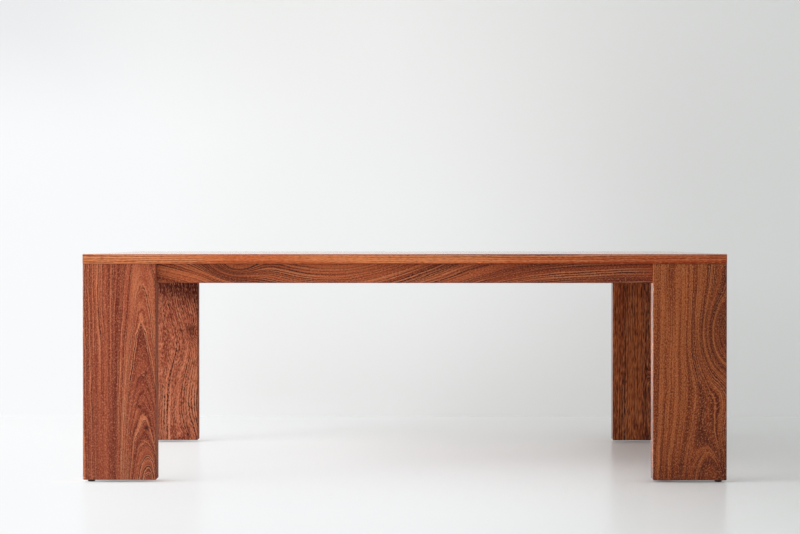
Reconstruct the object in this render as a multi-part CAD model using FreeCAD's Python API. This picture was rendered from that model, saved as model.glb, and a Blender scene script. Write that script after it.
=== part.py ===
# Dining table on four slab legs. A top of edge-glued boards lies on a frame of rails, which are tenoned
# into the legs, stiffened by two bearers and four corner blocks, and hold the top with wooden buttons.
#
# Sizes are in millimetres. The origin is on the floor under the middle of the top, +X runs along the
# table's length, +Y from its front to its back, and +Z up.
import FreeCAD, Part

import os
from collections import namedtuple

Vector = FreeCAD.Vector

# The whole table
TABLE_LENGTH = 2134.0
TABLE_DEPTH = 1067.0
TABLE_HEIGHT = 756.0

# Top, glued up from boards that run the length of the table
TOP_THICKNESS = 32.0
TOP_BOARD_COUNT = 7
TOP_EDGE_RADIUS = 1.5

# Legs, each one wide plank
LEG_WIDTH = 244.0
LEG_THICKNESS = 51.0
LEG_EDGE_RADIUS = 4.0
LEG_TOP_EDGE_RADIUS = 1.0

# Rails under the top, set back from the faces of the legs
RAIL_HEIGHT = 64.0
RAIL_THICKNESS = 32.0
RAIL_SETBACK = 19.0
RAIL_EDGE_RADIUS = 1.5

# Haunched tenons on the rails, and the mortises that take them
TENON_THICKNESS = 12.0
TENON_LOWER_SHOULDER = 8.0
LONG_TENON_LENGTH = 60.0
END_TENON_LENGTH = 36.0
HAUNCH_HEIGHT = 14.0
HAUNCH_LENGTH = 10.0
GLUE_LINE = 0.1
MORTISE_END_ROOM = 1.5

# Groove along the inside of each rail, for the buttons
GROOVE_WIDTH = 10.0
GROOVE_DEPTH = 11.0
GROOVE_BELOW_TOP = 10.0

# Buttons, whose tongue pulls up under the groove's upper wall
BUTTONS_PER_BAY = 2
BUTTON_WIDTH = 30.0
BUTTON_LENGTH = 38.0
BUTTON_TONGUE_LENGTH = 9.0
BUTTON_TONGUE_THICKNESS = 9.5
BUTTON_FACE_GAP = 2.0
BUTTON_DRAW_GAP = 0.8
BUTTON_EDGE_RADIUS = 2.0

# Bearers across the frame, stub-tenoned into the long rails
BEARER_COUNT = 2
BEARER_THICKNESS = 28.0
BEARER_HEIGHT = 50.0
BEARER_EDGE_RADIUS = 2.0
BEARER_TENON_LENGTH = 14.0
BEARER_TENON_HEIGHT = 22.0
BEARER_TENON_LOWER_SHOULDER = 6.0
BEARER_SCREW_SEAT = 28.0
BEARER_SLOT_TRAVEL = 7.0

# Corner blocks between each leg and its end rail
BLOCK_REACH = 80.0
BLOCK_HEIGHT = 48.0
BLOCK_TIP = 12.0
BLOCK_CLIP = 8.0
BLOCK_BELOW_TOP = 2.0
BLOCK_SCREW_FROM_END = 22.0
BLOCK_SCREW_SEAT = 20.0
BLOCK_LEG_SCREW_BELOW_TOP = 16.0
BLOCK_RAIL_SCREW_BELOW_TOP = 36.0

# Glides under the legs
GLIDE_HEIGHT = 7.0
GLIDE_DIAMETER = 24.0
GLIDE_INSET = 24.0
GLIDE_EDGE_RADIUS = 2.0
GLIDE_TOP_CHAMFER = 0.6
GLIDE_SCREW_RECESS = 1.6

# Wood screws. Those of the buttons and glides are countersunk, the other two kinds have washer heads.
BUTTON_SCREW_DIAMETER = 4.2
BUTTON_SCREW_LENGTH = 38.0
BUTTON_SCREW_HEAD_DIAMETER = 8.2
BUTTON_SCREW_HEAD_HEIGHT = 2.6
GLIDE_SCREW_DIAMETER = 3.5
GLIDE_SCREW_LENGTH = 25.0
GLIDE_SCREW_HEAD_DIAMETER = 7.0
GLIDE_SCREW_HEAD_HEIGHT = 2.2
WASHER_SCREW_DIAMETER = 4.5
WASHER_SCREW_HEAD_DIAMETER = 11.0
WASHER_SCREW_HEAD_HEIGHT = 2.8
BEARER_SCREW_LENGTH = 48.0
BLOCK_SCREW_LENGTH = 45.0
SCREW_POINT_LENGTH = 5.0
SCREW_POINT_RADIUS = 0.4
DRIVE_WIDTH = 2.4
DRIVE_DEPTH = 1.8
PILOT_CLEARANCE = 0.05
PILOT_END_ROOM = 1.0
SHANK_CLEARANCE = 0.25
HEAD_CLEARANCE = 0.5

# The kinds of screw
Screw = namedtuple("Screw", "diameter length head_diameter head_height countersunk")
BUTTON_SCREW = Screw(
    BUTTON_SCREW_DIAMETER, BUTTON_SCREW_LENGTH, BUTTON_SCREW_HEAD_DIAMETER, BUTTON_SCREW_HEAD_HEIGHT, True
)
GLIDE_SCREW = Screw(
    GLIDE_SCREW_DIAMETER, GLIDE_SCREW_LENGTH, GLIDE_SCREW_HEAD_DIAMETER, GLIDE_SCREW_HEAD_HEIGHT, True
)
BEARER_SCREW = Screw(
    WASHER_SCREW_DIAMETER, BEARER_SCREW_LENGTH, WASHER_SCREW_HEAD_DIAMETER, WASHER_SCREW_HEAD_HEIGHT, False
)
BLOCK_SCREW = BEARER_SCREW._replace(length=BLOCK_SCREW_LENGTH)

# Places that follow from the sizes above
UNDER_TOP = TABLE_HEIGHT - TOP_THICKNESS
RAIL_BOTTOM = UNDER_TOP - RAIL_HEIGHT
LEG_OUTER_X = TABLE_LENGTH / 2
LEG_OUTER_Y = TABLE_DEPTH / 2
LEG_INNER_X = LEG_OUTER_X - LEG_WIDTH
LEG_INNER_Y = LEG_OUTER_Y - LEG_THICKNESS
RAIL_MID_X = LEG_OUTER_X - RAIL_SETBACK - RAIL_THICKNESS / 2
RAIL_MID_Y = LEG_OUTER_Y - RAIL_SETBACK - RAIL_THICKNESS / 2
RAIL_INNER_X = RAIL_MID_X - RAIL_THICKNESS / 2
RAIL_INNER_Y = RAIL_MID_Y - RAIL_THICKNESS / 2
GROOVE_TOP = UNDER_TOP - GROOVE_BELOW_TOP
BOARD_WIDTH = TABLE_DEPTH / TOP_BOARD_COUNT
BOARD_MIDDLES = [(i + 0.5) * BOARD_WIDTH - LEG_OUTER_Y for i in range(TOP_BOARD_COUNT)]
BAY_LENGTH = 2 * LEG_INNER_X / (BEARER_COUNT + 1)
BEARER_MIDDLES = [(i + 1) * BAY_LENGTH - LEG_INNER_X for i in range(BEARER_COUNT)]
SIDES = {"left": -1, "right": 1}
FACES = {"front": -1, "back": 1}
CORNERS = {f"{face}_{side}": (SIDES[side], FACES[face]) for face in FACES for side in SIDES}
TOUCH = 1e-6
UP = Vector(0, 0, 1)


def span_box(x_span, y_span, z_span):
    """A box between two values on each axis, given in either order."""
    spans = (x_span, y_span, z_span)
    low = [min(span) for span in spans]
    size = [abs(span[1] - span[0]) for span in spans]
    return Part.makeBox(*size, Vector(*low))


def eased(solid, radius, chosen):
    """The solid with the edges whose middles are chosen rounded over."""
    edges = [edge for edge in solid.Edges if chosen(edge.CenterOfMass)]
    return solid.makeFillet(radius, edges)


def placed(shape, x, y, quarter_turns=0):
    """A copy of a shape turned about Z by quarter turns and then moved in plan."""
    copy = shape.copy()
    copy.rotate(Vector(0, 0, 0), UP, 90 * quarter_turns)
    copy.translate(Vector(x, y, 0))
    return copy


def pointed(shape, start, direction):
    """A copy of a shape made along +Z, moved to start and turned to point along direction."""
    copy = shape.copy()
    copy.Placement = FreeCAD.Placement(start, FreeCAD.Rotation(UP, direction))
    return copy


def turned(outline):
    """A solid turned about Z from an outline of (radius, height) points."""
    points = [Vector(radius, 0, height) for radius, height in outline]
    return Part.Face(Part.makePolygon(points + points[:1])).revolve(Vector(0, 0, 0), UP, 360)


def wood_screw(kind):
    """A screw along +Z: a countersunk head starts at z = 0, and a washer head bears on z = 0 from below."""
    shank, head = kind.diameter / 2, kind.head_diameter / 2
    point_start = kind.length - SCREW_POINT_LENGTH
    body = [(shank, point_start), (SCREW_POINT_RADIUS, kind.length), (0, kind.length)]
    if kind.countersunk:
        back = 0.0
        outline = [(0, 0), (head, 0), (shank, kind.head_height)]
    else:
        back = -kind.head_height
        crown = head - kind.head_height / 2
        outline = [(0, back), (crown, back), (head, back / 2), (head, 0), (shank, 0)]
    across = [-DRIVE_WIDTH / 2, DRIVE_WIDTH / 2]
    return turned(outline + body).cut(span_box(across, across, [back, back + DRIVE_DEPTH]))


def screw_hole(kind, passes):
    """What is drilled for a screw along +Z: a clear hole through the first piece and a pilot in the next."""
    clear, pilot = kind.diameter / 2 + SHANK_CLEARANCE, kind.diameter / 2 + PILOT_CLEARANCE
    end = kind.length + PILOT_END_ROOM
    return turned([(0, 0), (clear, 0), (clear, passes), (pilot, passes), (pilot, end), (0, end)])


def countersink(kind):
    """The cone that a countersunk head sinks into, with its mouth at z = 0."""
    head, shank = kind.head_diameter / 2 + SHANK_CLEARANCE, kind.diameter / 2 + SHANK_CLEARANCE
    return Part.makeCone(head, shank, kind.head_height)


# Top boards
def top_board(index, holes):
    """One board of the top, with the top's outer edges eased and the screw holes on its underside."""
    front = index * BOARD_WIDTH - LEG_OUTER_Y
    board = span_box([-LEG_OUTER_X, LEG_OUTER_X], [front, front + BOARD_WIDTH], [UNDER_TOP, TABLE_HEIGHT])

    def on_outside_of_top(middle):
        on_end = abs(abs(middle.x) - LEG_OUTER_X) < TOUCH
        on_side = abs(abs(middle.y) - LEG_OUTER_Y) < TOUCH
        on_face = min(abs(middle.z - UNDER_TOP), abs(middle.z - TABLE_HEIGHT)) < TOUCH
        return on_end + on_side + on_face == 2

    return eased(board, TOP_EDGE_RADIUS, on_outside_of_top).cut(holes)


# Rails and their joints
def haunched_tenon(length, grow=0.0, end_room=0.0):
    """A tenon that points along +X from a shoulder at x = 0. Grown by the glue line, it is its mortise."""
    across = [-TENON_THICKNESS / 2 - grow, TENON_THICKNESS / 2 + grow]
    tongue = span_box(
        [0, length + end_room],
        across,
        [RAIL_BOTTOM + TENON_LOWER_SHOULDER - grow, UNDER_TOP - HAUNCH_HEIGHT + grow],
    )
    haunch = span_box([0, HAUNCH_LENGTH + end_room], across, [UNDER_TOP - HAUNCH_HEIGHT - grow, UNDER_TOP])
    return tongue.fuse(haunch).removeSplitter()


def at_both_ends(shape, half_span):
    """A shape that points out of a rail's +X shoulder, and its twin at the other shoulder."""
    return [placed(shape, half_span, 0), placed(shape, -half_span, 0, 2)]


def rail_body(half_span, tenon_length):
    """A rail along X, its inner face towards +Y: shoulders, tenons, button groove, eased lower edges."""
    half_thickness = RAIL_THICKNESS / 2
    body = span_box([-half_span, half_span], [-half_thickness, half_thickness], [RAIL_BOTTOM, UNDER_TOP])

    def is_long_lower_edge(middle):
        return abs(middle.z - RAIL_BOTTOM) < TOUCH and abs(middle.x) < TOUCH

    groove = span_box(
        [-half_span, half_span],
        [half_thickness - GROOVE_DEPTH, half_thickness],
        [GROOVE_TOP - GROOVE_WIDTH, GROOVE_TOP],
    )
    body = eased(body, RAIL_EDGE_RADIUS, is_long_lower_edge).cut(groove)
    return body.fuse(at_both_ends(haunched_tenon(tenon_length), half_span)).removeSplitter()


Rail = namedtuple("Rail", "half_span tenon_length x y quarter_turns")
RAILS = {
    "front_rail": Rail(LEG_INNER_X, LONG_TENON_LENGTH, 0, -RAIL_MID_Y, 0),
    "back_rail": Rail(LEG_INNER_X, LONG_TENON_LENGTH, 0, RAIL_MID_Y, 2),
    "left_end_rail": Rail(LEG_INNER_Y, END_TENON_LENGTH, -RAIL_MID_X, 0, -1),
    "right_end_rail": Rail(LEG_INNER_Y, END_TENON_LENGTH, RAIL_MID_X, 0, 1),
}


def on_rail(rail, shape):
    """A shape made beside a rail along X, moved to where that rail lies."""
    return placed(shape, rail.x, rail.y, rail.quarter_turns)


def rail_mortises(rail):
    """The mortises for both of a rail's tenons."""
    mortise = haunched_tenon(rail.tenon_length, GLUE_LINE, MORTISE_END_ROOM)
    return [on_rail(rail, shape) for shape in at_both_ends(mortise, rail.half_span)]


# Bearers
def bearer_tenon(grow=0.0, end_room=0.0):
    """A stub tenon that points along +Y from a bearer's shoulder at y = 0."""
    bottom = UNDER_TOP - BEARER_HEIGHT + BEARER_TENON_LOWER_SHOULDER
    return span_box(
        [-TENON_THICKNESS / 2 - grow, TENON_THICKNESS / 2 + grow],
        [0, BEARER_TENON_LENGTH + end_room],
        [bottom - grow, bottom + BEARER_TENON_HEIGHT + grow],
    )


def bearer_tenons(middle, grow=0.0, end_room=0.0):
    """The stub tenons at both ends of the bearer at x = middle."""
    tenon = bearer_tenon(grow, end_room)
    return [placed(tenon, middle, RAIL_INNER_Y), placed(tenon, middle, -RAIL_INNER_Y, 2)]


def slot(x, y, width, travel, bottom, top):
    """An upright hole of a given width, drawn out along Y by the travel. Without travel it is round."""
    radius, half = width / 2, travel / 2
    ends = [Part.makeCylinder(radius, top - bottom, Vector(x, y + dy, bottom)) for dy in (-half, half)]
    if half < TOUCH:
        return ends[0]
    middle = span_box([x - radius, x + radius], [y - half, y + half], [bottom, top])
    return middle.fuse(ends).removeSplitter()


def bearer_screw_rows():
    """The middles of the boards that each bearer is screwed to: all but the two outer ones."""
    return BOARD_MIDDLES[1:-1]


def bearer(middle):
    """A bearer with slots across the top's grain, so that the boards can swell and shrink on their screws."""
    half = BEARER_THICKNESS / 2
    bottom, seat = UNDER_TOP - BEARER_HEIGHT, UNDER_TOP - BEARER_SCREW_SEAT
    body = span_box([middle - half, middle + half], [-RAIL_INNER_Y, RAIL_INNER_Y], [bottom, UNDER_TOP])

    def is_long_lower_edge(point):
        return abs(point.z - bottom) < TOUCH and abs(point.y) < TOUCH

    body = eased(body, BEARER_EDGE_RADIUS, is_long_lower_edge).fuse(bearer_tenons(middle)).removeSplitter()
    shank = BEARER_SCREW.diameter + 2 * SHANK_CLEARANCE
    head = BEARER_SCREW.head_diameter + 2 * HEAD_CLEARANCE
    slots = []
    for y in bearer_screw_rows():
        travel = 0.0 if abs(y) < TOUCH else BEARER_SLOT_TRAVEL
        slots.append(slot(middle, y, shank, travel, seat, UNDER_TOP))
        slots.append(slot(middle, y, head, travel, bottom, seat))
    return body.cut(slots)


def bearer_screw_starts():
    """Where the bearer screws' heads bear on the floors of their counterbores."""
    return [Vector(x, y, UNDER_TOP - BEARER_SCREW_SEAT) for x in BEARER_MIDDLES for y in bearer_screw_rows()]


# Buttons
BUTTON_BOTTOM = GROOVE_TOP - BUTTON_TONGUE_THICKNESS
BUTTON_FRONT = RAIL_THICKNESS / 2 + BUTTON_FACE_GAP
BUTTON_SCREW_Y = BUTTON_FRONT + BUTTON_LENGTH / 2


def button_body():
    """A button made beside a rail along X, with its tongue in the rail's groove and a screw hole upwards."""
    across = [-BUTTON_WIDTH / 2, BUTTON_WIDTH / 2]
    top, back = UNDER_TOP - BUTTON_DRAW_GAP, BUTTON_FRONT + BUTTON_LENGTH
    body = span_box(across, [BUTTON_FRONT, back], [BUTTON_BOTTOM, top])

    def is_lower_outer_edge(middle):
        return abs(middle.z - BUTTON_BOTTOM) < TOUCH and abs(middle.y - back) < TOUCH

    tip = BUTTON_FRONT - BUTTON_TONGUE_LENGTH
    tongue = span_box(across, [tip, BUTTON_FRONT], [BUTTON_BOTTOM, GROOVE_TOP])
    body = eased(body, BUTTON_EDGE_RADIUS, is_lower_outer_edge).fuse(tongue).removeSplitter()
    start = Vector(0, BUTTON_SCREW_Y, BUTTON_BOTTOM)
    return body.cut([pointed(button_screw_hole(), start, UP), pointed(countersink(BUTTON_SCREW), start, UP)])


def button_screw_hole():
    """The hole for a button's screw, clear through the button and a pilot in the board above."""
    return screw_hole(BUTTON_SCREW, UNDER_TOP - BUTTON_BOTTOM)


def button_places(rail):
    """How far along a rail its buttons are: by the bay on the long rails, by the board on the end rails."""
    if rail.half_span == LEG_INNER_Y:
        return [y * rail.quarter_turns for y in BOARD_MIDDLES[1:-1:2]]
    step = BAY_LENGTH / BUTTONS_PER_BAY
    count = BUTTONS_PER_BAY * (BEARER_COUNT + 1)
    return [(i + 0.5) * step - LEG_INNER_X for i in range(count)]


def at_buttons(shape):
    """A copy of a shape made at a rail's middle, moved to every button of every rail."""
    return [on_rail(rail, placed(shape, x, 0)) for rail in RAILS.values() for x in button_places(rail)]


# Corner blocks
def block_point(corner, from_rail, from_leg, below_top):
    """A point given by how far it lies inside the end rail's face, the leg's face and the top."""
    side, face = corner
    return Vector(side * (RAIL_INNER_X - from_rail), face * (LEG_INNER_Y - from_leg), UNDER_TOP - below_top)


def block_screws(corner):
    """Start and direction of a corner block's two screws, one into the leg and one into the end rail."""
    side, face = corner
    along = BLOCK_REACH - BLOCK_SCREW_FROM_END
    into_leg = block_point(corner, along, BLOCK_SCREW_SEAT, BLOCK_LEG_SCREW_BELOW_TOP)
    into_rail = block_point(corner, BLOCK_SCREW_SEAT, along, BLOCK_RAIL_SCREW_BELOW_TOP)
    return [(into_leg, Vector(0, face, 0)), (into_rail, Vector(side, 0, 0))]


def corner_block(corner):
    """A three-cornered block with blunt tips, a clipped inner corner and a counterbore for each screw."""
    plan = [
        (BLOCK_CLIP, 0),
        (BLOCK_REACH, 0),
        (BLOCK_REACH, BLOCK_TIP),
        (BLOCK_TIP, BLOCK_REACH),
        (0, BLOCK_REACH),
        (0, BLOCK_CLIP),
    ]
    points = [block_point(corner, *point, BLOCK_BELOW_TOP + BLOCK_HEIGHT) for point in plan]
    body = Part.Face(Part.makePolygon(points + points[:1])).extrude(UP * BLOCK_HEIGHT)
    counterbore = Part.makeCylinder(BLOCK_SCREW.head_diameter / 2 + HEAD_CLEARANCE, BLOCK_REACH)
    for start, direction in block_screws(corner):
        shank_hole = pointed(block_screw_hole(), start, direction)
        body = body.cut([pointed(counterbore, start, -direction), shank_hole])
    return body


def block_screw_hole():
    """The hole for a corner block's screw, clear through the block and a pilot in the leg or rail."""
    return screw_hole(BLOCK_SCREW, BLOCK_SCREW_SEAT)


# Legs and glides
def glide_middle(corner):
    """The middle of a glide, on the floor under the outer end of a leg."""
    side, face = corner
    return Vector(side * (LEG_OUTER_X - GLIDE_INSET), face * (LEG_OUTER_Y - LEG_THICKNESS / 2), 0)


def glide(corner):
    """A round pad with a rounded rim, screwed on through its recessed middle."""
    pad = Part.makeCylinder(GLIDE_DIAMETER / 2, GLIDE_HEIGHT)
    lower_rim = [edge for edge in pad.Edges if edge.BoundBox.ZMax < GLIDE_HEIGHT / 2]
    pad = pad.makeFillet(GLIDE_EDGE_RADIUS, lower_rim)
    upper_rim = [edge for edge in pad.Edges if edge.BoundBox.ZMin > GLIDE_HEIGHT / 2]
    pad = pad.makeChamfer(GLIDE_TOP_CHAMFER, upper_rim)
    recess = Part.makeCylinder(GLIDE_SCREW.head_diameter / 2 + SHANK_CLEARANCE, GLIDE_SCREW_RECESS)
    start = Vector(0, 0, GLIDE_SCREW_RECESS)
    shank_hole = pointed(glide_screw_hole(), start, UP)
    pad = pad.cut([recess, pointed(countersink(GLIDE_SCREW), start, UP), shank_hole])
    pad.translate(glide_middle(corner))
    return pad


def glide_screw_hole():
    """The hole for a glide's screw, clear through the pad and a pilot in the leg's end grain."""
    return screw_hole(GLIDE_SCREW, GLIDE_HEIGHT - GLIDE_SCREW_RECESS)


def glide_screw_start(corner):
    """Where a glide screw's head starts, sunk into the pad."""
    return glide_middle(corner) + UP * GLIDE_SCREW_RECESS


def leg(corner):
    """A leg eased on every edge, least under the top, mortised for two rails and drilled for screws."""
    side, face = corner
    plank = span_box(
        [side * LEG_OUTER_X, side * LEG_INNER_X],
        [face * LEG_OUTER_Y, face * LEG_INNER_Y],
        [GLIDE_HEIGHT, UNDER_TOP],
    )
    plank = eased(plank, LEG_EDGE_RADIUS, lambda middle: middle.z < UNDER_TOP - TOUCH)
    plank = eased(plank, LEG_TOP_EDGE_RADIUS, lambda middle: middle.z > UNDER_TOP - TOUCH)
    mortises = [mortise for rail in RAILS.values() for mortise in rail_mortises(rail)]
    holes = [pointed(block_screw_hole(), start, direction) for start, direction in block_screws(corner)]
    holes.append(pointed(glide_screw_hole(), glide_screw_start(corner), UP))
    return plank.cut(mortises + holes)


def rail(name):
    """A rail in its place, with the mortises for the bearers and the pilot holes for the corner blocks."""
    body = on_rail(RAILS[name], rail_body(RAILS[name].half_span, RAILS[name].tenon_length))
    cuts = [cut for x in BEARER_MIDDLES for cut in bearer_tenons(x, GLUE_LINE, MORTISE_END_ROOM)]
    for corner in CORNERS.values():
        cuts += [pointed(block_screw_hole(), start, direction) for start, direction in block_screws(corner)]
    return body.cut(cuts)


def all_pieces():
    """Every piece of the table, by its name. A kind of fastener or button is one group of separate solids."""
    board_holes = at_buttons(pointed(button_screw_hole(), Vector(0, BUTTON_SCREW_Y, BUTTON_BOTTOM), UP))
    bearer_pilot = screw_hole(BEARER_SCREW, BEARER_SCREW_SEAT)
    board_holes += [pointed(bearer_pilot, start, UP) for start in bearer_screw_starts()]
    pieces = {f"top_board_{i + 1}": top_board(i, board_holes) for i in range(TOP_BOARD_COUNT)}
    for name in RAILS:
        pieces[name] = rail(name)
    for number, x in enumerate(BEARER_MIDDLES, start=1):
        pieces[f"cross_bearer_{number}"] = bearer(x)
    for name, corner in CORNERS.items():
        pieces[f"{name}_leg"] = leg(corner)
        pieces[f"{name}_corner_block"] = corner_block(corner)
        pieces[f"{name}_glide"] = glide(corner)

    button_screw = pointed(wood_screw(BUTTON_SCREW), Vector(0, BUTTON_SCREW_Y, BUTTON_BOTTOM), UP)
    block_starts = [start for corner in CORNERS.values() for start in block_screws(corner)]
    glide_starts = [glide_screw_start(corner) for corner in CORNERS.values()]
    groups = {
        "top_buttons": at_buttons(button_body()),
        "button_screws": at_buttons(button_screw),
        "bearer_screws": [pointed(wood_screw(BEARER_SCREW), start, UP) for start in bearer_screw_starts()],
        "corner_block_screws": [pointed(wood_screw(BLOCK_SCREW), *start) for start in block_starts],
        "glide_screws": [pointed(wood_screw(GLIDE_SCREW), start, UP) for start in glide_starts],
    }
    for name, solids in groups.items():
        pieces[name] = Part.makeCompound(solids)
    return pieces


os.makedirs("parts", exist_ok=True)
for piece_name, piece in all_pieces().items():
    piece.exportStep(f"parts/{piece_name}.step")
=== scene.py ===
import itertools
import math

import bmesh
import bpy
from mathutils import Euler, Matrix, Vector


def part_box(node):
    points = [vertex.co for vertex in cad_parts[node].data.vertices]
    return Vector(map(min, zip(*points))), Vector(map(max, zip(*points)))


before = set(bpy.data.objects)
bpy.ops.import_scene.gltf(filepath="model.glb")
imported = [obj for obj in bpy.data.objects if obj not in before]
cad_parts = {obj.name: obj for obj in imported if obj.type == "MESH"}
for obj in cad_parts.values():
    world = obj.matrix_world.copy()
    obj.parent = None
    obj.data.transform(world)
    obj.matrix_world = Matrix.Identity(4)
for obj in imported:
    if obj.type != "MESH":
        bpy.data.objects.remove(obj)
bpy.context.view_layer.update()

# Legs
# Each leg is one wide plank of a reddish hardwood, planed, eased along its edges and oiled to a satin.
# It stands on its end grain, and the rails are tenoned into it.
# Growth rings show as arches on the front left leg and as swirls on the others.
MILLIMETRES = 1000
# How far a seed shifts a cloud along each axis.
SEED_STEPS = (3.7, 1.3, 7.1)
# Where a Mix node keeps its two inputs and its result, for each kind of value.
MIX_SOCKETS = {"RGBA": (6, 7, 2), "VECTOR": (4, 5, 1)}


def screen_colour(red, green, blue):
    """A colour as it looks on a screen, from 0 to 255, in the linear form that a shader takes."""
    shares = [value / 255 for value in (red, green, blue)]
    linear = [share / 12.92 if share <= 0.04045 else ((share + 0.055) / 1.055) ** 2.4 for share in shares]
    return (*linear, 1.0)


def wood_colours(dark, middle, light, dark_line, pale_line):
    """A wood's three tones and the colours of its dark and pale lines, from screen colours."""
    return [screen_colour(*colour) for colour in (dark, middle, light, dark_line, pale_line)]


def new_finish(name):
    """A new material, with its node tree and its shader."""
    material = bpy.data.materials.new(name)
    material.use_nodes = True
    tree = material.node_tree
    return material, tree, tree.nodes["Principled BSDF"]


def finish_with(node, material):
    """Puts a material on a piece of the frame."""
    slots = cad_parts[node].data.materials
    slots.clear()
    slots.append(material)


def feed(tree, socket, value):
    """Gives a socket a fixed value, or another node's output."""
    if isinstance(value, bpy.types.NodeSocket):
        tree.links.new(value, socket)
    else:
        socket.default_value = value


def operation_on(tree, kind, operation, values):
    """The outputs of a node that does one operation on some values."""
    node = tree.nodes.new(kind)
    node.operation = operation
    for socket, value in zip(node.inputs, values):
        feed(tree, socket, value)
    return node.outputs


def worked_out(tree, operation, *numbers):
    """A sum, a product or another operation on numbers."""
    return operation_on(tree, "ShaderNodeMath", operation, numbers)["Value"]


def moved(tree, operation, *points):
    """An operation on points that gives a point."""
    return operation_on(tree, "ShaderNodeVectorMath", operation, points)["Vector"]


def measured(tree, operation, *points):
    """An operation on points that gives a number."""
    return operation_on(tree, "ShaderNodeVectorMath", operation, points)["Value"]


def scaled(tree, point, factor):
    """A point moved away from the origin by a factor."""
    node = tree.nodes.new("ShaderNodeVectorMath")
    node.operation = "SCALE"
    feed(tree, node.inputs["Vector"], point)
    feed(tree, node.inputs["Scale"], factor)
    return node.outputs["Vector"]


def mixed(tree, kind, share, usual, other):
    """A value with a share of another one of its kind in its place."""
    node = tree.nodes.new("ShaderNodeMix")
    node.data_type = kind
    first, second, result = MIX_SOCKETS[kind]
    feed(tree, node.inputs["Factor"], share)
    feed(tree, node.inputs[first], usual)
    feed(tree, node.inputs[second], other)
    return node.outputs[result]


def stained(tree, colour, share, stain):
    """A colour with a share of another laid over it."""
    return mixed(tree, "RGBA", share, colour, stain)


def eased_step(tree, value, low, high, start=0.0, end=1.0):
    """A smooth change from start to end while the value goes from low to high."""
    node = tree.nodes.new("ShaderNodeMapRange")
    node.interpolation_type = "SMOOTHSTEP"
    for name, number in (("From Min", low), ("From Max", high), ("To Min", start), ("To Max", end)):
        node.inputs[name].default_value = number
    feed(tree, node.inputs["Value"], value)
    return node.outputs["Result"]


def cloud(tree, point, spans, seed, detail=2.0):
    """Soft chance variation from 0 to 1, in patches about as wide along each axis as the spans."""
    start = [seed * step for step in SEED_STEPS]
    node = tree.nodes.new("ShaderNodeTexNoise")
    node.inputs["Scale"].default_value = 1.0
    node.inputs["Detail"].default_value = detail
    feed(tree, node.inputs["Vector"], moved(tree, "MULTIPLY_ADD", point, [1 / span for span in spans], start))
    return node.outputs["Fac"]


def bell_and_slope(tree, point, centre, half_widths):
    """A smooth hump of height 1 about a centre, and its slope as a share of its height.
    An axis with no half-width is left out."""
    stretch = [1 / half if half else 0 for half in half_widths]
    offset = [-middle * factor for middle, factor in zip(centre, stretch)]
    away = moved(tree, "MULTIPLY_ADD", point, stretch, offset)
    fall = worked_out(tree, "MULTIPLY", measured(tree, "DOT_PRODUCT", away, away), -1.0)
    slope = moved(tree, "MULTIPLY", away, [-2 * factor for factor in stretch])
    return worked_out(tree, "EXPONENT", fall), slope


def bell(tree, point, centre, half_widths):
    """A smooth hump of height 1 about a centre; an axis with no half-width is left out."""
    return bell_and_slope(tree, point, centre, half_widths)[0]


def raised(tree, shader, height, strength, depth):
    """Gives a surface a fine relief, with its depth in metres."""
    bump = tree.nodes.new("ShaderNodeBump")
    bump.inputs["Strength"].default_value = strength
    bump.inputs["Distance"].default_value = depth
    tree.links.new(height, bump.inputs["Height"])
    tree.links.new(bump.outputs["Normal"], shader.inputs["Normal"])


def plank_space(tree, node, turn):
    """A point of a piece, in millimetres from a corner: across its face, through it, and along its grain.
    Also gives the way that its surface faces and the piece's size, along those axes."""
    turn = Euler([math.radians(angle) for angle in turn])
    corners = itertools.product(*zip(*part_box(node)))
    turned = [turn.to_matrix() @ Vector(corner) * MILLIMETRES for corner in corners]
    lowest = [min(values) for values in zip(*turned)]
    size = [max(values) - min(values) for values in zip(*turned)]
    mapping = tree.nodes.new("ShaderNodeMapping")
    mapping.inputs["Location"].default_value = [-value for value in lowest]
    mapping.inputs["Rotation"].default_value = turn
    mapping.inputs["Scale"].default_value = [MILLIMETRES] * 3
    place = tree.nodes.new("ShaderNodeTexCoord")
    tree.links.new(place.outputs["Object"], mapping.inputs["Vector"])
    facing = tree.nodes.new("ShaderNodeMapping")
    facing.vector_type = "NORMAL"
    facing.inputs["Rotation"].default_value = turn
    tree.links.new(place.outputs["Normal"], facing.inputs["Vector"])
    return mapping.outputs["Vector"], facing.outputs["Vector"], size


# Each wandering of the grain: its spans across, through and along the plank, its sway, how much of it stays
# where the rings lie flat to the surface, and whether the fibres sway too.
WANDERINGS = (
    ((150, 150, 380), 26.0, 0.8, True),
    ((30, 40, 110), 9.0, 0.75, True),
    ((8, 14, 26), 4.0, 0.65, False),
)
LEAST_STEEPNESS = 0.1
ARCH_SQUARENESS = 4.0
CLOUD_MIDDLE = 0.5


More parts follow.
